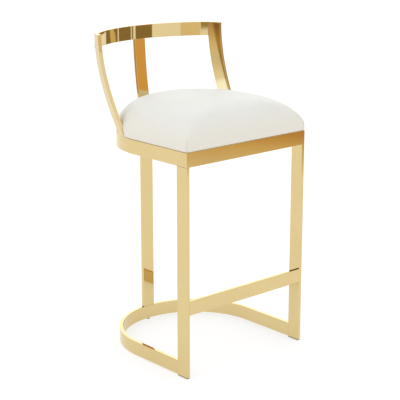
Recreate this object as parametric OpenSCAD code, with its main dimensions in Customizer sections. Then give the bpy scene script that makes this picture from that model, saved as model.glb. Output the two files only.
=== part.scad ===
// Counter-height bar stool: a welded frame of flat metal tube with a U-shaped
// base ring, a seat ring of the same plan, a footrest, a barrel back rail on
// two curved posts and one centre post, and an upholstered crowned seat.
// Millimetres. X across the seat, front faces -Y, Z up. The origin is on the
// floor at the centre of the stool's width and depth.

/* [Overall] */
// Width across the outer faces of the front legs
width = 440; // [400:5:520]
// Height of the top face of the seat frame
seat_height = 628; // [560:1:760]
// Height of the top edge of the back rail
back_height = 899; // [860:1:1060]

/* [Flat tube] */
// Wide side of the tube section
bar_w = 40; // [32:1:44]
// Narrow side of the tube section
bar_t = 10; // [9:0.5:12]
// Wall of the tube
wall = 1.2; // [1:0.1:1.5]

/* [Base] */
// Height of the glides under the frame
glide_h = 4; // [3:0.5:6]
// Height of the underside of the footrest
footrest_z = 181; // [120:1:260]

/* [Back] */
// Place of the side posts on the seat ring, behind the seat's widest line
post_angle = 17; // [12:1:20]
// Turn of the side posts at the back rail
post_turn_top = 23; // [18:1:30]
// How far the side posts run back between the seat frame and the rail
post_reach = 90; // [70:1:100]
// How far the side posts spread outwards by the rail
post_spread = 11; // [0:1:12]
// How far the back rail stands behind the seat frame's rear
rail_setback = 28; // [16:1:36]
// Width of the post in the middle of the back
centre_post_w = 37; // [30:1:40]

/* [Seat] */
// Height of the crown of the cover above the seat frame
crown_h = 103; // [60:1:110]
// Straight side of the cover above the seat frame
side_h = 18; // [8:1:24]
// Thickness of the cover material
cover_t = 1.5; // [1:0.1:2]
// Thickness of the plywood seat board
board_t = 12; // [9:1:18]

/* [Fasteners] */
// Shank diameter of the seat screws
screw_d = 6; // [5:0.5:6.5]
// Length of the screw under its head
screw_len = 12; // [12:1:14]

/* [Hidden] */
$fn = 96;

half = width / 2;                     // outer radius of both rings
inner_half = half - bar_t;            // inner radius of both rings
depth = 2 * half;                     // front face to the rear of the rings
rail_y = depth + rail_setback - bar_t / 2;   // centre line of the rail at the rear
total_depth = rail_y + bar_t / 2;
mid_y = total_depth / 2;              // the origin lies this far behind the front face
seat_low = seat_height - bar_w;
base_top = glide_h + bar_w;
leg_len = seat_low - glide_h;
rail_low = back_height - bar_w;
eps = 0.01;
gap = 0.2;                            // clearance of the seat parts inside the ring

// Seat stack, from the tabs up
tab_t = 3;
tab_len = 34;
tab_w = 28;
tab_rise = 14;                        // top of the tabs above the frame's underside
tab_top = seat_low + tab_rise;
board_low = tab_top;
board_top = board_low + board_t;
board_inset = cover_t + 0.4;
tuck_w = 22;                          // width of cover turned under the board
screw_inset = 18;                     // screws, measured in from the ring
tab_y = [70, 196];                    // tabs, measured from the front face
screw_x = inner_half - screw_inset;

// A straight flat tube that fills a box of this size, open along one axis: 0 for X,
// 1 for Y, 2 for Z
module tube(size, hollow_axis) {
    inner = [for (i = [0:2]) i == hollow_axis ? size[i] + 2 : size[i] - 2 * wall];
    difference() {
        cube(size);
        translate([for (i = [0:2]) i == hollow_axis ? -1 : wall]) cube(inner);
    }
}

// The half ring behind the straight sides of a U
module half_ring_tube() {
    translate([0, half, 0]) rotate_extrude(angle = 180) difference() {
        translate([inner_half, 0]) square([bar_t, bar_w]);
        translate([inner_half + wall, wall]) square([bar_t - 2 * wall, bar_w - 2 * wall]);
    }
}

// A U of flat tube on edge, its straight sides starting at y = from_y
module u_tube(from_y) {
    half_ring_tube();
    for (x = [-half, half - bar_t])
        translate([x, from_y, 0]) tube([bar_t, half - from_y, bar_w], 1);
}

// Moves the stool so that the origin is at the middle of its depth
module centred() {
    translate([0, -mid_y, 0]) children();
}

module gold() {
    color([0.85, 0.7, 0.4]) centred() children();
}

// ---- Base and legs ----

module base_ring() {
    gold() translate([0, 0, glide_h]) u_tube(bar_w);
}

module front_leg(side) {
    x = side < 0 ? -half : half - bar_t;
    gold() translate([x, 0, glide_h]) tube([bar_t, bar_w, leg_len], 2);
}

module front_leg_left() {
    front_leg(-1);
}

module front_leg_right() {
    front_leg(1);
}

module rear_leg() {
    gold() translate([-bar_w / 2, depth - bar_t, base_top])
        tube([bar_w, bar_t, seat_low - base_top], 2);
}

module footrest() {
    gold() translate([-inner_half, 0, footrest_z])
        tube([2 * inner_half, bar_t, bar_w], 0);
}

// ---- Seat frame ----

module seat_front_rail() {
    gold() translate([-half, 0, seat_low]) tube([width, bar_t, bar_w], 0);
}

module seat_ring() {
    gold() translate([0, 0, seat_low]) u_tube(bar_t);
}

// ---- Back ----

post_rise = back_height - seat_height;
post_r = half - bar_t / 2;
post_foot = [post_r * cos(post_angle), half + post_r * sin(post_angle)];
post_head = post_foot + [post_spread, post_reach];
centre_foot = [0, depth - bar_t / 2];
centre_head = [0, rail_y];

// Share of a post's run back at a share t of its height: part of a sine, so the
// post leans most at the seat and stands upright under the rail
function run(t) = 0.7 * sin(90 * t) + 0.3 * t * (2 - t);

// Corners of a post's section at a share t of the way up. foot and head are
// [x, y], turn is the section's angle at both ends, and size is [thick, wide].
function post_ring(t, foot, head, turn, size) = let(
        a = turn[0] + (turn[1] - turn[0]) * t,
        centre = foot + (head - foot) * run(t),
        across = [cos(a), sin(a)] * size[0] / 2,
        along = [-sin(a), cos(a)] * size[1] / 2)
    [for (s = [[-1, -1], [1, -1], [1, 1], [-1, 1]])
        let(q = centre + across * s[0] + along * s[1])
        [q[0], q[1], seat_height + post_rise * t]];

// A solid swept through such sections, from t0 to t1
module post_sweep(t0, t1, foot, head, turn, size) {
    steps = 30;
    n = 4;
    rings = [for (i = [0:steps])
        post_ring(t0 + (t1 - t0) * i / steps, foot, head, turn, size)];
    sides = [for (i = [0:steps - 1]) for (j = [0:n - 1])
        let(a = i * n + j, b = i * n + (j + 1) % n)
        each [[a, a + n, b + n], [a, b + n, b]]];
    polyhedron([for (r = rings) each r], concat([[0, 1, 2, 3]], sides,
        [[for (j = [n - 1:-1:0]) steps * n + j]]));
}

// A curved post of flat tube, closed at the top by its own wall if it is capped
module post(foot, head, turn, wide, t_top, capped) {
    top = capped ? t_top - wall / post_rise : t_top + eps;
    difference() {
        post_sweep(0, t_top, foot, head, turn, [bar_t, wide]);
        post_sweep(-eps, top, foot, head, turn, [bar_t - 2 * wall, wide - 2 * wall]);
    }
}

module side_post() {
    post(post_foot, post_head, [post_angle, post_turn_top], bar_w, 1, true);
}

module side_post_right() {
    gold() side_post();
}

module side_post_left() {
    gold() mirror([1, 0, 0]) side_post();
}

module centre_post() {
    t_top = (rail_low - seat_height) / post_rise;
    gold() post(centre_foot, centre_head, [90, 90], centre_post_w, t_top, false);
}

// Back rail: an arc through the rear edges of both side posts and the rail's
// rearmost point
rail_end = post_head + [-sin(post_turn_top), cos(post_turn_top)] * bar_w / 2;
rail_rise = rail_y - rail_end[1];
rail_radius = (pow(rail_end[0], 2) + pow(rail_rise, 2)) / (2 * rail_rise);
rail_centre_y = rail_y - rail_radius;
rail_half_angle = asin(rail_end[0] / rail_radius);

module back_rail() {
    gold() translate([0, rail_centre_y, rail_low]) rotate([0, 0, 90 - rail_half_angle])
        rotate_extrude(angle = 2 * rail_half_angle) difference() {
            translate([rail_radius - bar_t / 2, 0]) square([bar_t, bar_w]);
            translate([rail_radius - bar_t / 2 + wall, wall])
                square([bar_t - 2 * wall, bar_w - 2 * wall]);
        }
}

// ---- Seat fixings ----

module at_tab(side, row) {
    centred() translate([side * screw_x, tab_y[row], 0]) children();
}

module tab(side, row) {
    reach = inner_half - screw_x;
    color([0.8, 0.66, 0.38]) at_tab(side, row) difference() {
        translate([side < 0 ? -reach : reach - tab_len, -tab_w / 2, tab_top - tab_t])
            cube([tab_len, tab_w, tab_t]);
        translate([0, 0, tab_top - tab_t - 1]) cylinder(d = screw_d + 0.6, h = tab_t + 2);
    }
}

module tab_front_left() {
    tab(-1, 0);
}

module tab_front_right() {
    tab(1, 0);
}

module tab_rear_left() {
    tab(-1, 1);
}

module tab_rear_right() {
    tab(1, 1);
}

module at_screws() {
    for (side = [-1, 1], row = [0, 1]) at_tab(side, row) children();
}

washer_t = 1.5;
head_h = 3.5;
nut_d = 8.4;
nut_recess = 2;                       // the nut's barrel stops this far above the board's face
flange_t = 1.2;
flange_d = 3 * screw_d;

module seat_washers() {
    color("silver") at_screws() translate([0, 0, tab_top - tab_t - washer_t]) difference() {
        cylinder(d = 2.4 * screw_d, h = washer_t);
        translate([0, 0, -1]) cylinder(d = screw_d + 0.4, h = washer_t + 2);
    }
}

module seat_screws() {
    color("silver") at_screws() translate([0, 0, tab_top - tab_t - washer_t]) difference() {
        union() {
            cylinder(d = screw_d, h = screw_len);
            translate([0, 0, -head_h]) cylinder(d = 1.8 * screw_d, h = head_h);
        }
        translate([0, 0, -head_h - eps]) cylinder(r = screw_d / 3, h = head_h * 0.6, $fn = 6);
    }
}

module tee_nuts() {
    color("silver") at_screws() difference() {
        union() {
            translate([0, 0, board_low + nut_recess]) cylinder(d = nut_d, h = board_t - nut_recess);
            translate([0, 0, board_top]) cylinder(d = flange_d, h = flange_t);
        }
        translate([0, 0, board_low]) cylinder(d = screw_d, h = board_t + flange_t + 1);
    }
}

// ---- Upholstered seat ----

// The U plan of the seat, set in from the frame's outer face, with rounded
// front corners
module plan(inset, corner) {
    w = half - inset;
    r = min(corner, 0.95 * w);
    hull() {
        translate([0, half]) circle(r = w);
        for (x = [-w + r, w - r]) translate([x, inset + r]) circle(r = r);
    }
}

// Straight-sided plan without a blend, for the parts inside the ring
module flat_plan(inset) {
    w = half - inset;
    translate([0, half]) circle(r = w);
    translate([-w, inset]) square([2 * w, half - inset]);
}

inside = bar_t + gap;

module board_holes(d) {
    for (side = [-1, 1], row = [0, 1])
        translate([side * screw_x, tab_y[row], board_low - 1]) cylinder(d = d, h = board_t + 2);
}

module seat_board() {
    color("burlywood") centred() difference() {
        translate([0, 0, board_low]) linear_extrude(board_t) flat_plan(inside + board_inset);
        board_holes(nut_d);
        staple_legs();
    }
}

// Staples: a crown bar under the dust cover and two legs up into the board
staple_w = 10;
staple_t = 0.8;
staple_leg = 7;
dust_t = 0.8;
staple_low = board_low - cover_t - dust_t - staple_t;
staple_inset = inside + 17;           // staples, measured in from the outer face
staple_r = half - staple_inset;

module at_staples() {
    for (x = [-150:50:150]) translate([x, staple_inset, staple_low]) children();
    for (side = [-1, 1], y = [115, 150]) translate([side * staple_r, y, staple_low])
        rotate([0, 0, 90]) children();
    for (a = [14:19:166]) translate([staple_r * cos(a), half + staple_r * sin(a), staple_low])
        rotate([0, 0, a + 90]) children();
}

module staple_legs() {
    at_staples() for (x = [-staple_w / 2, staple_w / 2 - staple_t])
        translate([x, -staple_t / 2, 0]) cube([staple_t, staple_t, staple_leg]);
}

module staples() {
    color("silver") centred() {
        at_staples() translate([-staple_w / 2, -staple_t / 2, 0])
            cube([staple_w, staple_t, staple_t]);
        staple_legs();
    }
}

crown_curve = 4;                      // how fast the crown flattens towards the middle
crown_edge = 0.6;                     // how steeply it leaves the straight side
corner_r = 14;                        // front corners of the cover at the frame

// Crown profile: height above the straight side at a share u of the way in
function crown(u) = (crown_h - side_h) * pow(1 - pow(1 - u, crown_curve), crown_edge);

// Slope of the crown in degrees, upright at its edge
function slope(u, du = 0.001) = u < du ? 90
    : atan((crown(u + du) - crown(u - du)) / (2 * du * half));

// Dome over the whole seat, its faces set in by t all over
module dome(t) {
    low = seat_height + gap + t;
    levels = [0, 0.01, 0.03, 0.06, 0.11, 0.18, 0.28, 0.42, 0.65];
    hull() {
        translate([0, 0, low]) linear_extrude(eps) plan(bar_t * 0.4 + t, corner_r);
        translate([0, 0, low + side_h * 0.25]) linear_extrude(eps) plan(bar_t * 0.1 + t, corner_r);
        for (u = levels)
            translate([0, 0, seat_height + side_h + crown(u) - t * cos(slope(u)) - eps])
                linear_extrude(eps) plan(u * half + t * sin(slope(u)), corner_r + u * half);
    }
}

// Cut-outs that let the tabs reach the board through the cover and the dust cover
module tab_pockets() {
    side_gap = 8;
    end_gap = 1;
    low = board_low - cover_t - dust_t - 1;
    for (side = [-1, 1], row = [0, 1]) translate([side * screw_x, tab_y[row], low])
        translate([-tab_len / 2 - side_gap, -tab_w / 2 - end_gap, 0])
            cube([tab_len + 2 * side_gap, tab_w + 2 * end_gap, board_low - low]);
}

// The part inside the ring, reaching up into the dome
module skirt(inset, low) {
    translate([0, 0, low]) linear_extrude(seat_height + gap + cover_t + eps - low)
        flat_plan(inset);
}

module foam_pad() {
    color("khaki") centred() difference() {
        union() {
            dome(cover_t);
            skirt(inside + board_inset, board_top);
        }
        for (side = [-1, 1], row = [0, 1]) translate([side * screw_x, tab_y[row], board_top - 1])
            cylinder(d = flange_d, h = flange_t + 1);
    }
}

module seat_cover() {
    color("white") centred() difference() {
        union() {
            dome(0);
            skirt(inside, board_low - cover_t);
        }
        dome(cover_t);
        skirt(inside + board_inset, board_low);
        translate([0, 0, board_low - cover_t - 1]) linear_extrude(cover_t + 2)
            flat_plan(inside + tuck_w);
        tab_pockets();
        staple_legs();
    }
}

module dust_cover() {
    color("dimgray") centred() difference() {
        translate([0, 0, board_low - cover_t - dust_t]) linear_extrude(dust_t)
            flat_plan(inside + tuck_w / 2);
        tab_pockets();
        staple_legs();
    }
}

// ---- Glides ----

plug_h = 16;

module leg_glide(side) {
    x = side * (half - bar_t / 2);
    color([0.35, 0.33, 0.3]) centred() {
        translate([x - bar_t / 2 + 0.5, 1, 0]) cube([bar_t - 1, bar_w - 2, glide_h]);
        translate([x - bar_t / 2 + wall + 0.1, wall + 0.1, glide_h - eps])
            cube([bar_t - 2 * wall - 0.2, bar_w - 2 * wall - 0.2, plug_h]);
    }
}

module glide_front_left() {
    leg_glide(-1);
}

module glide_front_right() {
    leg_glide(1);
}

module glide_rear() {
    color([0.35, 0.33, 0.3]) centred() translate([0, depth - bar_t / 2, 0])
        cylinder(d = bar_t - 1, h = glide_h);
}

base_ring();
front_leg_left();
front_leg_right();
rear_leg();
footrest();
seat_front_rail();
seat_ring();
side_post_left();
side_post_right();
centre_post();
back_rail();
tab_front_left();
tab_front_right();
tab_rear_left();
tab_rear_right();
seat_board();
foam_pad();
seat_cover();
dust_cover();
seat_screws();
seat_washers();
tee_nuts();
staples();
glide_front_left();
glide_front_right();
glide_rear();
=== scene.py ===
"""Counter-height bar stool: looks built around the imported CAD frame.

Every tube of the frame is rebuilt as a smooth swept bar with rounded edges, and the seat
gets a cover whose shape is settled by a cloth simulation. Metres, Z up, front at -Y.
"""

import math

import bpy
import numpy as np
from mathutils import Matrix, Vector
from mathutils.bvhtree import BVHTree


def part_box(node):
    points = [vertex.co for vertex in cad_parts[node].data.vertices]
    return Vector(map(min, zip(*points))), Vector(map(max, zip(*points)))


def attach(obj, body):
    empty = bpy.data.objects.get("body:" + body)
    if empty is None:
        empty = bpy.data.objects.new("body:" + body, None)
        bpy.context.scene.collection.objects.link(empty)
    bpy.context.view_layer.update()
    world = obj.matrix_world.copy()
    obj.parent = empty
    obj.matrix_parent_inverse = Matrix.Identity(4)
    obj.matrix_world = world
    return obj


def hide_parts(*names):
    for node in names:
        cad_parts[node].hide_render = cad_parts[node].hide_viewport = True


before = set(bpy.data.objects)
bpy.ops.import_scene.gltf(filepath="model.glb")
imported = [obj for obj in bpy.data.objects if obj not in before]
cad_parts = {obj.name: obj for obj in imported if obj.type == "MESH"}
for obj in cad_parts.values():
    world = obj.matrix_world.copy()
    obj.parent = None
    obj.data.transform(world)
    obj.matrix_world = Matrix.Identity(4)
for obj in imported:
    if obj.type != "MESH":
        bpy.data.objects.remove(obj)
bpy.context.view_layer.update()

MM = 0.001
BODY = "root"

# ---- Sizes read from the frame ----

LEG_LOW, LEG_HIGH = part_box("front_leg_left")
RING_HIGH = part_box("seat_ring")[1]
RAIL_LOW, RAIL_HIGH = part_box("back_rail")

BAR_T = LEG_HIGH.x - LEG_LOW.x            # narrow side of the tube
BAR_W = LEG_HIGH.y - LEG_LOW.y            # wide side of the tube
HALF = RING_HIGH.x                        # outer radius of both rings
FRONT_Y = LEG_LOW.y                       # front face of the stool
CENTRE_Y = RING_HIGH.y - HALF             # centre of the rings' half circle
SEAT_Z = RING_HIGH.z                      # top face of the seat frame
EDGE = 0.8 * MM                           # radius of the tube's corners
END = 0.5 * MM                            # rounding where a tube ends at a weld
JOINT = 0.7 * MM                          # gap at the joint between the rail and each post
JOINT_SHADE_W = 1 * MM                           # width of the line of painted shade beside that joint

# ---- Camera ----

CAMERA_AZIMUTH = -41.72                   # degrees, 0 looks along +Y
CAMERA_ELEVATION = 14.98
CAMERA_DISTANCE = 3.1945
CAMERA_LENS = 109.445                     # millimetres on a 36 mm sensor
CAMERA_REACH = 100                        # metres
CAMERA_TARGET = Vector((-0.1738, FRONT_Y, 0.4954))


def build_camera():
    azimuth, elevation = math.radians(CAMERA_AZIMUTH), math.radians(CAMERA_ELEVATION)
    back = Vector((math.sin(azimuth) * math.cos(elevation),
                   -math.cos(azimuth) * math.cos(elevation),
                   math.sin(elevation)))
    data = bpy.data.cameras.new("camera")
    data.lens = CAMERA_LENS
    data.clip_end = CAMERA_REACH
    camera = bpy.data.objects.new("camera", data)
    camera.location = CAMERA_TARGET + back * CAMERA_DISTANCE
    camera.rotation_mode = "QUATERNION"
    camera.rotation_quaternion = (-back).to_track_quat("-Z", "Y")
    bpy.context.scene.collection.objects.link(camera)
    bpy.context.scene.camera = camera


# ---- Materials ----

class Shader:
    """A node material built a line at a time."""

    def __init__(self, name):
        self.material = bpy.data.materials.new(name)
        self.material.use_nodes = True
        self.tree = self.material.node_tree
        self.surface = self.tree.nodes["Principled BSDF"]
        self.place = self.add("ShaderNodeTexCoord").outputs["Object"]

    def add(self, kind, **values):
        node = self.tree.nodes.new(kind)
        for key, value in values.items():
            setattr(node, key, value)
        return node

    def link(self, source, target):
        self.tree.links.new(source, target)

    def set(self, **values):
        for key, value in values.items():
            self.surface.inputs[key.replace("_", " ")].default_value = value

    def stretched(self, scale):
        """Object coordinates scaled along each axis."""
        node = self.add("ShaderNodeMapping")
        node.inputs["Scale"].default_value = scale
        self.link(self.place, node.inputs["Vector"])
        return node.outputs["Vector"]

    def height(self):
        """The object's own Z, in metres."""
        node = self.add("ShaderNodeSeparateXYZ")
        self.link(self.place, node.inputs["Vector"])
        return node.outputs["Z"]

    def noise(self, scale, detail=3, roughness=0.5, place=None):
        node = self.add("ShaderNodeTexNoise")
        node.inputs["Scale"].default_value = scale
        node.inputs["Detail"].default_value = detail
        node.inputs["Roughness"].default_value = roughness
        self.link(place or self.place, node.inputs["Vector"])
        return node.outputs["Fac"]

    def cells(self, scale, feature="F1"):
        node = self.add("ShaderNodeTexVoronoi", feature=feature)
        node.inputs["Scale"].default_value = scale
        self.link(self.place, node.inputs["Vector"])
        return node.outputs["Distance"]

    def ramp(self, value, stops):
        """stops: (position, colour) pairs, a colour being a number or a triple."""
        node = self.add("ShaderNodeValToRGB")
        elements = node.color_ramp.elements
        while len(elements) < len(stops):
            elements.new(0.5)
        for element, (position, colour) in zip(elements, stops):
            element.position = position
            rgb = colour if hasattr(colour, "__len__") else (colour,) * 3
            element.color = (*rgb, 1)
        self.link(value, node.inputs["Fac"])
        return node.outputs["Color"]

    def mix(self, factor, a, b):
        node = self.add("ShaderNodeMix", data_type="RGBA")
        for socket, value in ((node.inputs[0], factor), (node.inputs[6], a), (node.inputs[7], b)):
            if hasattr(value, "is_output"):
                self.link(value, socket)
            elif hasattr(value, "__len__"):
                socket.default_value = (*value, 1)
            else:
                socket.default_value = value
        return node.outputs[2]

    def maths(self, operation, a, b):
        node = self.add("ShaderNodeMath", operation=operation)
        for socket, value in zip(node.inputs, (a, b)):
            if hasattr(value, "is_output"):
                self.link(value, socket)
            else:
                socket.default_value = value
        return node.outputs[0]

    def bump(self, height, strength, distance, before=None):
        node = self.add("ShaderNodeBump")
        node.inputs["Strength"].default_value = strength
        node.inputs["Distance"].default_value = distance
        self.link(height, node.inputs["Height"])
        if before:
            self.link(before, node.inputs["Normal"])
        return node.outputs["Normal"]

    def finish(self, colour, roughness, normal=None):
        self.link(colour, self.surface.inputs["Base Color"])
        self.link(roughness, self.surface.inputs["Roughness"])
        if normal:
            self.link(normal, self.surface.inputs["Normal"])
        return self.material


def brass_material():
    """Mirror-polished brass plate: wiped smudges, hairline polishing marks, faint tone drift."""
    s = Shader("polished_brass")
    s.set(Metallic=1.0)
    tone = s.noise(6, 4)
    smudge = s.noise(14, 6, 0.65)
    hair = s.noise(1, 2, 0.5, s.stretched((900, 900, 40)))
    colour = s.ramp(tone, [(0.3, (0.697, 0.547, 0.266)), (0.7, (0.725, 0.572, 0.285))])
    clean = s.ramp(smudge, [(0.35, 0.030), (0.62, 0.050), (0.80, 0.115)])
    rough = s.mix(0.18, clean, s.ramp(hair, [(0.35, 0.02), (0.75, 0.16)]))
    wave = s.bump(s.noise(9, 1), 0.05, 2 * MM)
    normal = s.bump(hair, 0.012, 0.1 * MM, wave)
    return s.finish(colour, rough, normal)


def joint_shade_material():
    """The dark brown line of painted shade on the back rail's ends, where it is welded to its
    posts: it stands for the shade in the joint's gap.
    """
    s = Shader("painted_joint_shade")
    s.set(Metallic=1.0)
    tint = s.noise(260, 4)
    colour = s.ramp(tint, [(0.3, (0.12, 0.06, 0.015)), (0.7, (0.20, 0.11, 0.03))])
    return s.finish(colour, s.ramp(tint, [(0.3, 0.28), (0.7, 0.45)]), s.bump(tint, 0.2, 0.1 * MM))


WARM_SHADE_H = 0.1                           # height above the frame over which the painted warm shade low on the leatherette fades out


def leatherette_material():
    """Warm white coated fabric: fine pebble grain, tone drift, a slight sheen, painted warm shade
    low down and painted shade in the grain's creases.
    """
    s = Shader("white_leatherette")
    s.set(Specular_IOR_Level=0.35, Sheen_Weight=0.15, Sheen_Roughness=0.4)
    pebbles = s.cells(950, "SMOOTH_F1")
    creases = s.cells(620, "DISTANCE_TO_EDGE")
    pores = s.noise(2600, 2)
    drift = s.noise(11, 3)
    colour = s.ramp(drift, [(0.3, (0.697, 0.700, 0.672)), (0.7, (0.723, 0.728, 0.702))])
    # Painted warm shade: the cover's colour turns darker and warmer low on its sides, fading out
    # higher up.
    above_seat = s.maths("DIVIDE", s.maths("SUBTRACT", s.height(), SEAT_Z), WARM_SHADE_H)
    warm_shade_fade = s.ramp(above_seat, [(0.20, 0.0), (0.85, 1.0)])
    colour = s.mix(warm_shade_fade, (0.733, 0.706, 0.633), colour)
    crease_line = s.ramp(creases, [(0.0, 0.0), (0.06, 1.0)])
    # Painted shade: the colour is darkened along the grain's crease lines.
    colour = s.mix(s.maths("MULTIPLY", s.maths("SUBTRACT", 1.0, crease_line), 0.12),
                   colour, (0.60, 0.56, 0.49))
    rough = s.ramp(s.noise(60, 4), [(0.3, 0.46), (0.7, 0.60)])
    grain = s.bump(pebbles, 0.30, 0.25 * MM)
    grain = s.bump(crease_line, 0.22, 0.12 * MM, grain)
    grain = s.bump(pores, 0.10, 0.06 * MM, grain)
    return s.finish(colour, rough, grain)


def plywood_material():
    """Birch plywood: long face grain, and plies that show at the edge."""
    s = Shader("birch_plywood")
    grain = s.noise(1, 5, 0.6, s.stretched((18, 300, 300)))
    plies = s.add("ShaderNodeTexWave", bands_direction="Z")
    plies.inputs["Scale"].default_value = 130
    plies.inputs["Distortion"].default_value = 0.4
    s.link(s.place, plies.inputs["Vector"])
    face = s.ramp(grain, [(0.35, (0.50, 0.34, 0.18)), (0.65, (0.66, 0.49, 0.29))])
    colour = s.mix(0.35, face, s.ramp(plies.outputs["Fac"],
                                      [(0.3, (0.36, 0.22, 0.11)), (0.7, (0.68, 0.52, 0.32))]))
    rough = s.ramp(grain, [(0.2, 0.55), (0.8, 0.75)])
    return s.finish(colour, rough, s.bump(grain, 0.3, 0.2 * MM))


def felt_material():
    """Black non-woven dust cover: pressed random fibres and a grid of bonding points."""
    s = Shader("dust_felt")
    fibres = s.noise(1, 5, 0.7, s.stretched((900, 260, 500)))
    cross = s.noise(1, 5, 0.7, s.stretched((260, 900, 500)))
    web = s.maths("MAXIMUM", fibres, cross)
    points = s.cells(330)
    colour = s.ramp(web, [(0.4, (0.012, 0.012, 0.013)), (0.75, (0.060, 0.060, 0.064))])
    normal = s.bump(points, 0.5, 0.3 * MM, s.bump(web, 0.5, 0.2 * MM))
    return s.finish(colour, s.ramp(web, [(0.3, 0.80), (0.7, 0.95)]), normal)


def zinc_material():
    """Zinc-plated steel: mottled grey with a yellow-blue cast and turned marks."""
    s = Shader("zinc_plate")
    s.set(Metallic=1.0)
    spangle = s.cells(500)
    colour = s.ramp(spangle, [(0.1, (0.50, 0.51, 0.53)), (0.5, (0.64, 0.63, 0.60))])
    turned = s.noise(1, 2, 0.5, s.stretched((400, 400, 3500)))
    rough = s.ramp(turned, [(0.3, 0.22), (0.7, 0.42)])
    return s.finish(colour, rough, s.bump(turned, 0.15, 0.1 * MM))


def glide_material():
    """Moulded nylon foot, scuffed where it slides."""
    s = Shader("glide_nylon")
    s.set(Specular_IOR_Level=0.4)
    scuff = s.noise(1, 5, 0.7, s.stretched((900, 300, 900)))
    colour = s.ramp(scuff, [(0.3, (0.30, 0.22, 0.12)), (0.75, (0.43, 0.34, 0.21))])
    rough = s.ramp(scuff, [(0.3, 0.38), (0.7, 0.62)])
    return s.finish(colour, rough, s.bump(scuff, 0.2, 0.1 * MM))


def foam_material():
    """Open-cell cream foam."""
    s = Shader("cream_foam")
    pores = s.cells(900)
    colour = s.ramp(pores, [(0.1, (0.52, 0.43, 0.22)), (0.6, (0.80, 0.72, 0.48))])
    rough = s.ramp(s.noise(80), [(0.3, 0.85), (0.7, 0.98)])
    return s.finish(colour, rough, s.bump(pores, 0.6, 0.5 * MM))


BRASS = brass_material()
JOINT_SHADE = joint_shade_material()
LEATHERETTE = leatherette_material()
PLYWOOD = plywood_material()
FELT = felt_material()
ZINC = zinc_material()
NYLON = glide_material()
FOAM = foam_material()

# ---- Mesh helpers ----

X, Y, Z = Vector((1, 0, 0)), Vector((0, 1, 0)), Vector((0, 0, 1))
EDGE_STEPS = 3                            # facets round each corner of the tube


def piece(name, vertices, faces, material, node):
    """A smooth-shaded mesh that rides on the stool and stands for a CAD node."""
    mesh = bpy.data.meshes.new(name)
    mesh.from_pydata([tuple(v) for v in vertices], [], faces)
    mesh.validate()
    mesh.shade_smooth()
    mesh.materials.append(material)
    obj = bpy.data.objects.new(name, mesh)
    bpy.context.scene.collection.objects.link(obj)
    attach(obj, BODY)
    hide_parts(node)
    return obj


def rounded_section(thick, wide, radius):
    """Corners of a rectangle with rounded edges, anticlockwise: (across, along) pairs."""
    points = []
    for corner, (sx, sy) in enumerate(((1, 1), (-1, 1), (-1, -1), (1, -1))):
        for k in range(EDGE_STEPS + 1):
            a = math.radians(90 * (corner + k / EDGE_STEPS))
            points.append((sx * (thick / 2 - radius) + radius * math.cos(a),
                           sy * (wide / 2 - radius) + radius * math.sin(a)))
    return points


def banded(rings):
    """Vertices, and the faces between neighbouring rings of equal length, open at both ends."""
    n = len(rings[0])
    vertices = [p for ring in rings for p in ring]
    faces = [(i * n + j, i * n + (j + 1) % n, (i + 1) * n + (j + 1) % n, (i + 1) * n + j)
             for i in range(len(rings) - 1) for j in range(n)]
    return vertices, faces


def lofted(rings):
    """Vertices and faces of a closed solid through rings of equal length."""
    vertices, faces = banded(rings)
    n, count = len(rings[0]), len(vertices)
    return vertices, faces + [tuple(reversed(range(n))), tuple(range(count - n, count))]


def domed(rings):
    """Vertices and faces through rings of equal length, closed at the top by a fan."""
    vertices, faces = banded(rings)
    n, top = len(rings[0]), len(vertices)
    vertices.append(tuple(np.mean(rings[-1], axis=0)))
    return vertices, faces + [(top - n + j, top - n + (j + 1) % n, top) for j in range(n)]


def bar(node, stations, thick, wide, end=END):
    """A tube through stations of (centre, across, along), its ends slightly rounded."""
    def ring(centre, across, along, inset):
        return [centre + across * a + along * b
                for a, b in rounded_section(thick - 2 * inset, wide - 2 * inset,
                                            max(EDGE - inset, 0.2 * EDGE))]

    def rounded_end(first, second):
        centre, across, along = first
        inward = (second[0] - centre).normalized()
        turns = [math.radians(a) for a in (0, 45, 90)]
        return [ring(centre + inward * end * (1 - math.cos(t)), across, along,
                     end * (1 - math.sin(t))) for t in turns]

    rings = rounded_end(stations[0], stations[1])
    rings += [ring(*s, 0) for s in stations[1:-1]]
    rings += list(reversed(rounded_end(stations[-1], stations[-2])))
    vertices, faces = lofted(rings)
    centre, across, along = stations[0]
    if across.cross(along).dot(stations[1][0] - centre) < 0:
        faces = [tuple(reversed(f)) for f in faces]
    obj = piece(node + "_tube", vertices, faces, BRASS, node)
    flat_faces = obj.modifiers.new("flat_faces", "WEIGHTED_NORMAL")
    flat_faces.weight = 100
    return obj


# ---- Welded frame ----

ARC_STEPS = 72                            # stations along a curved tube
CENTRE_DEGREE = 5                         # polynomial through a post's centre line
TURN_DEGREE = 2                           # polynomial through its turn


def straight_bar(node, run, across, along):
    """A straight tube that fills its CAD node's box. run, across and along are axes."""
    low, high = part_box(node)
    middle, size = (low + high) / 2, high - low
    half_run = run * size.dot(run) / 2
    stations = [(middle - half_run, across, along), (middle + half_run, across, along)]
    return bar(node, stations, size.dot(across), size.dot(along))


def arc_stations(centre, radius, start, end):
    """Stations along an arc between two angles, the tube on edge."""
    stations = []
    for k in range(ARC_STEPS + 1):
        a = start + (end - start) * k / ARC_STEPS
        outward = Vector((math.cos(a), math.sin(a), 0))
        stations.append((centre + outward * radius, outward, Z))
    return stations


def u_ring(node):
    """A tube on edge along two straight sides and the half circle behind them."""
    low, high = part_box(node)
    z = (low.z + high.z) / 2
    radius = HALF - BAR_T / 2
    stations = [(Vector((radius, low.y, z)), X, Z)]
    stations += arc_stations(Vector((0, CENTRE_Y, z)), radius, 0, math.pi)
    stations.append((Vector((-radius, low.y, z)), -X, Z))
    return bar(node, stations, BAR_T, high.z - low.z)


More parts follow.
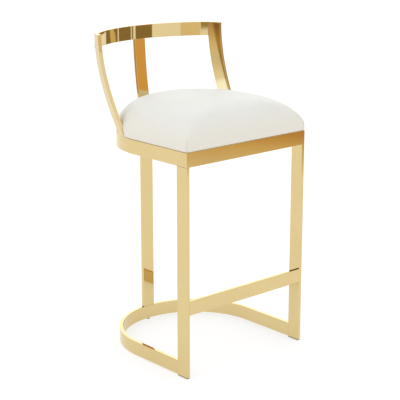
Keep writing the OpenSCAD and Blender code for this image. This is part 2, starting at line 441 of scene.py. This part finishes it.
def post_sections(node, wide):
    """Height, centre and direction of the wide side of each level of a post's CAD mesh."""
    co = np.array([v.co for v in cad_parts[node].data.vertices])
    levels, members = np.unique(np.round(co[:, 2], 4), return_inverse=True)
    sections = []
    for k, z in enumerate(levels):
        found = np.unique(np.round(co[members.ravel() == k][:, :2], 5), axis=0)
        if len(found) < 4:
            continue
        middle = (found.min(0) + found.max(0)) / 2
        corners = found[np.argsort(-np.linalg.norm(found - middle, axis=1))[:4]]
        spans = sorted((a - b for i, a in enumerate(corners) for b in corners[i + 1:]),
                       key=np.linalg.norm)
        along = spans[2]                  # after the two short sides
        if abs(np.linalg.norm(along) - wide) <= MM:
            sections.append((z, corners.mean(0), along))
    return sections


def post(node, side):
    """A curved flat post. Its centre line and turn are smooth fits to the CAD sections.
    side is the X sign of the post's outward face, or 0 for the centre post."""
    low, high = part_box(node)
    wide = high.x - low.x if side == 0 else BAR_W
    shares, centres, turns = [], [], []
    for z, centre, along in post_sections(node, wide):
        forward = 1 if along[1] > 0 else -1
        shares.append((z - low.z) / (high.z - low.z))
        centres.append(centre)
        turns.append(math.atan2(-side * forward * along[0], forward * along[1]))
    x_fit, y_fit = (np.polyfit(shares, np.array(centres)[:, i], CENTRE_DEGREE) for i in (0, 1))
    turn_fit = np.polyfit(shares, turns, TURN_DEGREE)
    stations = []
    for k in range(ARC_STEPS + 1):
        share = k / ARC_STEPS
        centre = Vector((float(np.polyval(x_fit, share)), float(np.polyval(y_fit, share)),
                         low.z + (high.z - low.z) * share))
        a = float(np.polyval(turn_fit, share))
        across = Vector((side * math.cos(a), math.sin(a), 0)) if side else Y
        along = Vector((-side * math.sin(a), math.cos(a), 0)) if side else X
        stations.append((centre, across, along))
    return bar(node, stations, BAR_T, wide)


def rail_arc():
    """Radius, centre and half angle of the back rail's centre line, worked out from its box."""
    rise = RAIL_HIGH.y - RAIL_LOW.y

    def excess(angle):
        outer = RAIL_HIGH.x / math.sin(angle)
        return outer - (outer - BAR_T) * math.cos(angle) - rise

    small, large = math.radians(5), math.radians(85)
    for _ in range(60):
        middle = (small + large) / 2
        small, large = (middle, large) if excess(middle) < 0 else (small, middle)
    outer = RAIL_HIGH.x / math.sin(small)
    return outer - BAR_T / 2, RAIL_HIGH.y - outer, small


def back_rail():
    radius, centre_y, half_angle = rail_arc()
    half_angle -= JOINT / radius
    centre = Vector((0, centre_y, (RAIL_LOW.z + RAIL_HIGH.z) / 2))
    stations = arc_stations(centre, radius, math.pi / 2 - half_angle, math.pi / 2 + half_angle)
    obj = bar("back_rail", stations, BAR_T, BAR_W, JOINT_SHADE_W)
    # The rail's ends take the painted shade material: a dark line standing for the shade in the
    # gap at each post.
    obj.data.materials.append(JOINT_SHADE)
    for face in obj.data.polygons:
        lean = (face.center.xy - centre.xy).angle(Y.xy)
        face.material_index = 1 if lean > half_angle - JOINT_SHADE_W / radius else 0
    return obj


u_ring("base_ring")
u_ring("seat_ring")
straight_bar("front_leg_left", Z, X, Y)
straight_bar("front_leg_right", Z, X, Y)
straight_bar("rear_leg", Z, Y, X)
straight_bar("footrest", X, Y, Z)
straight_bar("seat_front_rail", X, Y, Z)
post("side_post_left", -1)
post("side_post_right", 1)
post("centre_post", 0)
back_rail()

# ---- Seat cushion ----

BACK_POINTS = 124                         # points of each loop round the sides and back
FRONT_POINTS = 48                         # points of each loop across the front
RIM = ((1.7, 0.25), (1.2, 0.9), (0.8, 2.4), (0.5, 6.0), (0.4, 12.5))    # loops: inset, height
CORNER = 2 * MM                           # front corners of the cover at the frame
CORNER_GROWTH = 1.7                       # how fast they widen with the inset
WIDEST_CORNER = 0.93                      # as a share of the half width
SIDE_INSET = 0.4 * MM                     # inset of the crown's lowest loop
SIDE_H = 16 * MM                          # straight side above the frame
CROWN_LOOPS = 34                          # loops from the side to the top
CROWN_TOP = 6 * MM                        # about the half width of the highest loop
CROWN_H = 87 * MM                         # rise of the crown above the side
CROWN_FALL = 4.3                          # how early it levels out towards the middle
CROWN_SHOULDER = 0.64                     # how steeply it starts: less is steeper
CROWN_TILT = 10.5 * MM                    # how much higher the front is than the middle
SKIN = 1.5 * MM                           # thickness of the cover
FIT = 0.3 * MM                            # between the skirt and the frame
TUCK = 21 * MM                            # how far the hem reaches under the board
HEM_LOOPS = 4                             # loops from the hem's edge up to the board
SKIRT_CORNER = 6 * MM                     # front corners of the skirt, hem and foam
POCKET_CLEAR = 1 * MM                     # between a tab and its pocket in the hem


def plan(inset, corner):
    """The seat's U outline, inset from the frame's outer face, front corners rounded. The middle
    of each corner is always one of the points."""
    w = HALF - inset
    r = min(corner, WIDEST_CORNER * w)
    front = FRONT_Y + inset
    straight = CENTRE_Y - front - r
    turn = math.pi / 2 * r
    parts = [("right corner", turn), ("right", straight), ("arc", math.pi * w),
             ("left", straight), ("left corner", turn), ("front", 2 * (w - r))]
    total = sum(length for _, length in parts)
    across = 2 * (w - r) + turn
    walks = [turn / 2 + (total - across) * k / BACK_POINTS for k in range(BACK_POINTS)]
    walks += [turn / 2 + total - across * (1 - k / FRONT_POINTS) for k in range(FRONT_POINTS)]
    points = []
    for walk in walks:
        d = walk % total
        for part, length in parts:
            if d <= length:
                break
            d -= length
        share = d / length
        if part == "arc":
            a = math.pi * share
            points.append((w * math.cos(a), CENTRE_Y + w * math.sin(a)))
        elif part == "left":
            points.append((-w, CENTRE_Y - d))
        elif part == "right":
            points.append((w, CENTRE_Y - straight + d))
        elif part == "front":
            points.append((-w + r + d, front))
        else:
            side = 1 if part == "right corner" else -1
            a = math.radians((270 if side > 0 else 180) + 90 * share)
            points.append((side * (w - r) + r * math.cos(a), front + r + r * math.sin(a)))
    return points


def crown_height(inset, y):
    """Height of the crown this far in: steep at the side, level in the middle, front higher."""
    outward = 1 - min(inset / HALF, 1)
    rise = CROWN_H * (1 - outward ** CROWN_FALL) ** CROWN_SHOULDER
    return SEAT_Z + SIDE_H + rise - CROWN_TILT * (y - CENTRE_Y) / HALF * min(1, rise / CROWN_H)


def dome_loops(shrink):
    """Loops of the cover above the frame, from the frame's outer edge to the crown."""
    loops = []
    for inset, height in RIM:
        outline = plan(inset * MM + shrink, CORNER)
        loops.append([(x, y, SEAT_Z + height * MM) for x, y in outline])
    for k in range(CROWN_LOOPS):
        share = k / CROWN_LOOPS
        inset = SIDE_INSET + (HALF - CROWN_TOP) * (0.35 * share ** 2.2 + 0.65 * share ** 1.25)
        outline = plan(inset + shrink, CORNER + CORNER_GROWTH * inset)
        loops.append([(x, y, crown_height(inset, y) - shrink) for x, y in outline])
    return loops


def pockets():
    """Front and rear edges, in Y, of the cut-outs that let the tabs through."""
    return [(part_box(tab)[0].y - POCKET_CLEAR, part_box(tab)[1].y + POCKET_CLEAR)
            for tab in ("tab_front_left", "tab_rear_left")]


def meet_pockets(outline):
    """Moves the outline's nearest points to the edges of the pockets."""
    outline = list(outline)
    for edge in (e for pocket in pockets() for e in pocket):
        for side in (-1, 1):
            beside = [i for i, (x, y) in enumerate(outline)
                      if side * x > HALF / 2 and y < CENTRE_Y]
            nearest = min(beside, key=lambda i: abs(outline[i][1] - edge))
            outline[nearest] = (outline[nearest][0], edge)
    return outline


def in_pocket(y):
    return any(low < y < high for low, high in pockets())


def under_loops():
    """Loops of the cover below the frame's top: the hem tucked under the board and the skirt."""
    board_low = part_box("seat_board")[0].z
    cover_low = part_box("seat_cover")[0].z
    inner = BAR_T + FIT
    loops = []
    for inset, z in ((inner + TUCK, cover_low), (inner + 3 * MM, cover_low),
                     (inner + 0.6 * MM, cover_low + 0.6 * MM), (inner, board_low + 0.1 * MM),
                     (inner, board_low + 8 * MM), (inner, SEAT_Z + 0.2 * MM)):
        loops.append([(x, y, z) for x, y in meet_pockets(plan(inset, SKIRT_CORNER))])
    return loops


SIM_SHRINK = 3 * MM                       # how far inside the cover the cloth starts
SIM_GRID = 6 * MM                         # spacing of the cloth's points
SIM_HELD = 5 * MM                         # height above the frame up to which it is held
SIM_FRAMES = 20
SIM_CAP = 8 * MM                          # the most that any point may move
FOLLOW_FROM = 3                           # loop of the dome from which it follows the cloth
FOLLOW_LOOPS = 4                          # loops it takes to follow it fully
SMOOTHING = 14                            # rounds of evening out the grid's grain


def simulate_cushion():
    """The dome swollen as cloth under pressure, as a tree to find its surface with."""
    loops = dome_loops(SIM_SHRINK)
    vertices, faces = domed(loops)
    faces.append(tuple(reversed(range(len(loops[0])))))
    mesh = bpy.data.meshes.new("sim")
    mesh.from_pydata(vertices, [], faces)
    obj = bpy.data.objects.new("sim", mesh)
    scene = bpy.context.scene
    scene.collection.objects.link(obj)
    bpy.context.view_layer.objects.active = obj
    remesh = obj.modifiers.new("remesh", "REMESH")
    remesh.mode, remesh.voxel_size = "VOXEL", SIM_GRID
    bpy.ops.object.modifier_apply(modifier="remesh")
    start = np.array([v.co for v in obj.data.vertices])
    pinned = obj.vertex_groups.new(name="pinned")
    held = [int(i) for i in np.nonzero(start[:, 2] < SEAT_Z + SIM_HELD)[0]]
    pinned.add(held, 1.0, "REPLACE")
    cloth = obj.modifiers.new("cloth", "CLOTH")
    settings = cloth.settings
    settings.quality = 6
    settings.mass = 0.4
    settings.tension_stiffness = settings.compression_stiffness = 12
    settings.shear_stiffness = 8
    settings.bending_stiffness = 0.4
    settings.use_pressure = True
    settings.uniform_pressure_force = 4
    settings.vertex_group_mass = "pinned"
    settings.effector_weights.gravity = 0
    cloth.point_cache.frame_start, cloth.point_cache.frame_end = 1, SIM_FRAMES
    for number in range(1, SIM_FRAMES + 1):
        scene.frame_set(number)
    depsgraph = bpy.context.evaluated_depsgraph_get()
    settled = obj.evaluated_get(depsgraph).to_mesh()
    move = np.array([v.co for v in settled.vertices]) - start
    length = np.linalg.norm(move, axis=1, keepdims=True)
    end = start + move * np.minimum(1, SIM_CAP / np.maximum(length, 1e-9))
    polygons = [tuple(p.vertices) for p in settled.polygons]
    tree = BVHTree.FromPolygons([tuple(p) for p in end], polygons)
    scene.frame_set(1)
    bpy.data.objects.remove(obj)
    return tree


def found_loops(drawn, tree):
    """The drawn loops moved to the cloth's nearest points, from the held side up."""
    found = []
    for number, loop in enumerate(drawn):
        share = min(1, max(0, (number - FOLLOW_FROM) / FOLLOW_LOOPS))
        found.append([Vector(p).lerp(tree.find_nearest(p)[0], share) for p in loop])
    return found


def settled_loops(drawn, found):
    """The drawn loops moved as the cloth settled. The grain of the simulation's grid is evened
    out, and each loop's mean movement is taken off, as a cover is cut to settle at its outline."""
    start = np.array(drawn)
    move = np.array(found) - start
    for _ in range(SMOOTHING):
        move = (move + np.roll(move, 1, axis=1) + np.roll(move, -1, axis=1)) / 3
        inner = (move[:-2] + move[1:-1] + move[2:]) / 3
        move = np.concatenate([move[:1], inner, (move[-2:-1] + move[-1:]) / 2])
    outward = start - start.mean(axis=1, keepdims=True)
    outward /= np.linalg.norm(outward, axis=2, keepdims=True)
    for way in (outward, np.array(Z)):
        along = (move * way).sum(axis=2).mean(axis=1)
        move = move - along[:, None, None] * way
    return [[tuple(p) for p in loop] for loop in start + move]


def seat_cover():
    """The sewn cover: a hem under the board, a skirt inside the frame and the crowned top."""
    lower, upper = under_loops(), dome_loops(0)
    upper = settled_loops(upper, found_loops(upper, simulate_cushion()))
    vertices, faces = domed(lower + upper)
    hem = (HEM_LOOPS - 1) * len(lower[0])
    opened = {f for f in faces[:hem]
              if in_pocket(sum(vertices[i][1] for i in f) / 4)
              and abs(vertices[f[0]][0]) > HALF / 2}
    faces = [f for f in faces if f not in opened]
    obj = piece("seat_cover_skin", vertices, faces, LEATHERETTE, "seat_cover")
    shell = obj.modifiers.new("thickness", "SOLIDIFY")
    shell.thickness = SKIN
    shell.offset = -1
    return obj


FOAM_GAP = 0.6 * MM                       # between the foam and the skirt
FOAM_SHRINK = 6 * MM                      # how far inside the cover's top it lies


def foam_core():
    """The foam block that fills the cover above the board."""
    board_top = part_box("seat_board")[1].z
    inner = BAR_T + FIT + SKIN + FOAM_GAP
    loops = []
    for z in (board_top + 0.1 * MM, SEAT_Z - 1 * MM):
        loops.append([(x, y, z) for x, y in plan(inner, SKIRT_CORNER)])
    vertices, faces = lofted(loops + dome_loops(FOAM_SHRINK)[1:])
    obj = piece("foam_core", vertices, faces, FOAM, "foam_pad")
    return obj


STAPLED = 9 * MM                          # flat margin of the dust cover, held by the staples
SAG_RUN = 55 * MM                         # width over which it comes to hang free
SAG, RIPPLE = 1.3 * MM, 0.5 * MM          # how far it hangs, and how much that varies
SHEET_ROWS = 24                           # in front of its half circle
SHEET_TURN = 3                            # degrees between its rows round the half circle
SHEET_MIDDLE = 36                         # columns between the pockets
SHEET_STRIP = 5                           # columns beside them


def sag(x, y, inside):
    """How far the dust cover hangs at a point, inside being its distance from the edge."""
    share = min(max((inside - STAPLED) / SAG_RUN, 0), 1)
    ripple = math.sin(x * 47 + 1.3) * math.sin(y * 39 + 0.4)
    return share * share * (3 - 2 * share) * (SAG + RIPPLE * ripple)


def dust_cover():
    """The felt sheet stapled over the hem: flat at the staples, sagging a little inside them."""
    low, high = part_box("dust_cover")
    half = (high.x - low.x) / 2
    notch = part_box("tab_front_right")[0].x - STAPLED
    rows = [low.y + (CENTRE_Y - low.y) * k / SHEET_ROWS for k in range(SHEET_ROWS)]
    rows += [CENTRE_Y + half * math.sin(math.radians(a)) for a in range(0, 88, SHEET_TURN)]
    rows += [CENTRE_Y + math.sqrt(half ** 2 - notch ** 2), high.y - 0.05 * MM]
    rows += [edge for pocket in pockets() for edge in pocket]
    rows = sorted(rows)
    vertices, faces = [], []
    for y in rows:
        edge = half if y < CENTRE_Y else math.sqrt(max(half ** 2 - (y - CENTRE_Y) ** 2, 0))
        inner = min(notch, edge)
        strip = [inner + (edge - inner) * k / SHEET_STRIP for k in range(1, SHEET_STRIP + 1)]
        middle = [inner * (2 * k / SHEET_MIDDLE - 1) for k in range(SHEET_MIDDLE + 1)]
        for x in [-x for x in reversed(strip)] + middle + strip:
            inside = min(edge - abs(x), y - low.y, high.y - y)
            vertices.append((x, y, high.z - sag(x, y, inside)))
    wide = SHEET_MIDDLE + 2 * SHEET_STRIP
    for i in range(len(rows) - 1):
        cut = in_pocket((rows[i] + rows[i + 1]) / 2)
        for j in range(wide):
            if cut and not SHEET_STRIP <= j < SHEET_STRIP + SHEET_MIDDLE:
                continue
            a, b = i * (wide + 1) + j, (i + 1) * (wide + 1) + j
            faces.append((a, b, b + 1, a + 1))
    obj = piece("dust_cover_sheet", vertices, faces, FELT, "dust_cover")
    weld = obj.modifiers.new("weld", "WELD")
    weld.merge_threshold = 0.02 * MM
    shell = obj.modifiers.new("thickness", "SOLIDIFY")
    shell.thickness = high.z - low.z
    shell.offset = -1
    return obj


seat_cover()
foam_core()
dust_cover()

# ---- Carried-over CAD nodes ----

FINISHES = {"seat_board": PLYWOOD, "seat_screws": ZINC, "seat_washers": ZINC,
            "tee_nuts": ZINC, "staples": ZINC}
for name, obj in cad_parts.items():
    material = FINISHES.get(name, NYLON if name.startswith("glide") else BRASS)
    obj.data.materials.clear()
    obj.data.materials.append(material)

# ---- Studio ----

FLOOR_SIZE = 60
FLOOR_GLOW = 0.66
STUDIO_GLOW = 1.07                        # strength of the world and of every panel
SOFTBOX_POWER, SOFTBOX_SIZE = 9, 2.4      # watts, metres
SOFTBOX_PLACE, SOFTBOX_AIM = Vector((-1.2, 0.6, 3.0)), Vector((0, 0, 0.5))
PANEL_STEPS = 8                           # faces along a panel's arc
GLOW_HEIGHT = 3.0                         # metres that a panel's ramp of tones covers


def even(colour):
    return [(0.0, colour), (GLOW_HEIGHT, colour)]


# Tones of the panels by height in metres
LOW_TONES = [(0.0, (0.95, 0.90, 0.82)), (0.054, (0.80, 0.69, 0.50)), (0.13, (0.74, 0.54, 0.27)),
             (0.19, (0.59, 0.33, 0.11)), (0.40, (0.29, 0.205, 0.09)), (0.60, (0.29, 0.205, 0.09))]
GLOWS = {
    "amber": LOW_TONES + [(0.67, (0.78, 0.46, 0.157)), (3.0, (0.78, 0.46, 0.157))],
    "umber": LOW_TONES + [(0.85, (0.50, 0.36, 0.20)), (3.0, (0.66, 0.45, 0.20))],
    "brown": [(0.0, (0.62, 0.42, 0.20)), (0.8, (0.45, 0.32, 0.18)), (1.6, (0.16, 0.10, 0.05))],
    "sand": even((0.87, 0.74, 0.53)),
    "bronze": even((0.38, 0.29, 0.11)),
    "stone": [(0.40, (0.41, 0.325, 0.143)), (0.555, (0.60, 0.41, 0.238)),
              (0.79, (0.735, 0.60, 0.34)), (0.87, (0.778, 0.654, 0.452)),
              (1.06, (0.795, 0.724, 0.571)), (1.25, (0.80, 0.73, 0.60)),
              (1.38, (0.96, 0.93, 0.88))],
    "ochre": [(0.85, (0.41, 0.42, 0.37)), (0.94, (0.335, 0.27, 0.235)),
              (1.087, (0.573, 0.438, 0.32)), (1.18, (0.70, 0.49, 0.21)),
              (1.30, (0.785, 0.60, 0.334)), (1.42, (0.565, 0.447, 0.395))],
    "ivory": even((1.28, 1.42, 1.75)),
    "white": even((1.5, 1.5, 1.45)),
}

# Panels round the studio that only the polish sees: glow, start and end azimuth from -Y
# towards +X, distance, and the heights of its foot and top in metres
PANELS = [
    ("amber", 27.6, 47.8, 2.35, 0.0, 1.9), ("umber", 50.8, 52.7, 2.35, 0.0, 1.9),
    ("umber", 54.0, 71.9, 2.35, 0.0, 1.9), ("umber", 73.6, 79.2, 2.35, 0.0, 1.9),
    ("umber", 82.0, 95.6, 2.35, 0.0, 1.9),
    ("brown", -150, -118, 3.6, 0.1, 2.8), ("stone", -108, -80, 4.0, 0.3, 1.44),
    ("ivory", -112, -76, 4.2, 1.46, 2.6), ("sand", -24.0, -4.4, 4.0, 0.0, 1.2),
    ("ochre", 46, 54, 2.3, 0.8, 1.9), ("bronze", -30.3, -24.6, 4.0, 0.362, 0.8),
    ("white", 110, 165, 7.0, 1.6, 7.0),
]


def staged(name, vertices, faces, material):
    mesh = bpy.data.meshes.new(name)
    mesh.from_pydata(vertices, [], faces)
    mesh.materials.append(material)
    obj = bpy.data.objects.new(name, mesh)
    bpy.context.scene.collection.objects.link(obj)
    return obj


def floor():
    s = Shader("pale_floor")
    s.set(Specular_IOR_Level=0.1, Emission_Color=(1, 1, 1, 1), Emission_Strength=FLOOR_GLOW)
    tone = s.noise(3, 3)
    rough = s.ramp(tone, [(0.3, 0.8), (0.7, 0.9)])
    material = s.finish(s.ramp(tone, [(0.3, 0.35), (0.7, 0.37)]), rough)
    h = FLOOR_SIZE / 2
    staged("floor", [(-h, -h, 0), (h, -h, 0), (h, h, 0), (-h, h, 0)], [(0, 1, 2, 3)], material)


def glow(name, stops):
    """A panel's own light. stops: (height in metres, colour) pairs from its foot to its top."""
    s = Shader(name)
    share = s.maths("DIVIDE", s.height(), GLOW_HEIGHT)
    colour = s.ramp(share, [(height / GLOW_HEIGHT, tone) for height, tone in stops])
    emit = s.add("ShaderNodeEmission")
    emit.inputs["Strength"].default_value = STUDIO_GLOW
    s.link(colour, emit.inputs["Color"])
    s.tree.nodes.remove(s.surface)
    s.link(emit.outputs["Emission"], s.tree.nodes["Material Output"].inputs["Surface"])
    return s.material


def panel(name, start_azimuth, end_azimuth, distance, low, high, material):
    a, b = math.radians(start_azimuth), math.radians(end_azimuth)
    turns = [a + (b - a) * k / PANEL_STEPS for k in range(PANEL_STEPS + 1)]
    arc = [(distance * math.sin(t), -distance * math.cos(t)) for t in turns]
    n = len(arc)
    obj = staged(name, [(x, y, z) for z in (low, high) for x, y in arc],
                 [(k, k + 1, n + k + 1, n + k) for k in range(PANEL_STEPS)], material)
    obj.visible_camera = False
    obj.visible_diffuse = False
    obj.visible_shadow = False


def studio():
    scene = bpy.context.scene
    world = bpy.data.worlds.new("studio")
    scene.world = world
    world.use_nodes = True
    background = world.node_tree.nodes["Background"]
    background.inputs["Color"].default_value = (1.0, 1.0, 0.995, 1)
    background.inputs["Strength"].default_value = STUDIO_GLOW
    light = bpy.data.lights.new("softbox", "AREA")
    light.energy = SOFTBOX_POWER
    light.size = SOFTBOX_SIZE
    lamp = bpy.data.objects.new("softbox", light)
    lamp.location = SOFTBOX_PLACE
    lamp.rotation_euler = (SOFTBOX_AIM - SOFTBOX_PLACE).to_track_quat("-Z", "Y").to_euler()
    scene.collection.objects.link(lamp)
    floor()
    glows = {name: glow(name + "_glow", stops) for name, stops in GLOWS.items()}
    for number, (tone, *shape) in enumerate(PANELS):
        panel("%s_panel_%d" % (tone, number), *shape, glows[tone])
    scene.view_settings.view_transform = "Standard"


build_camera()
studio()
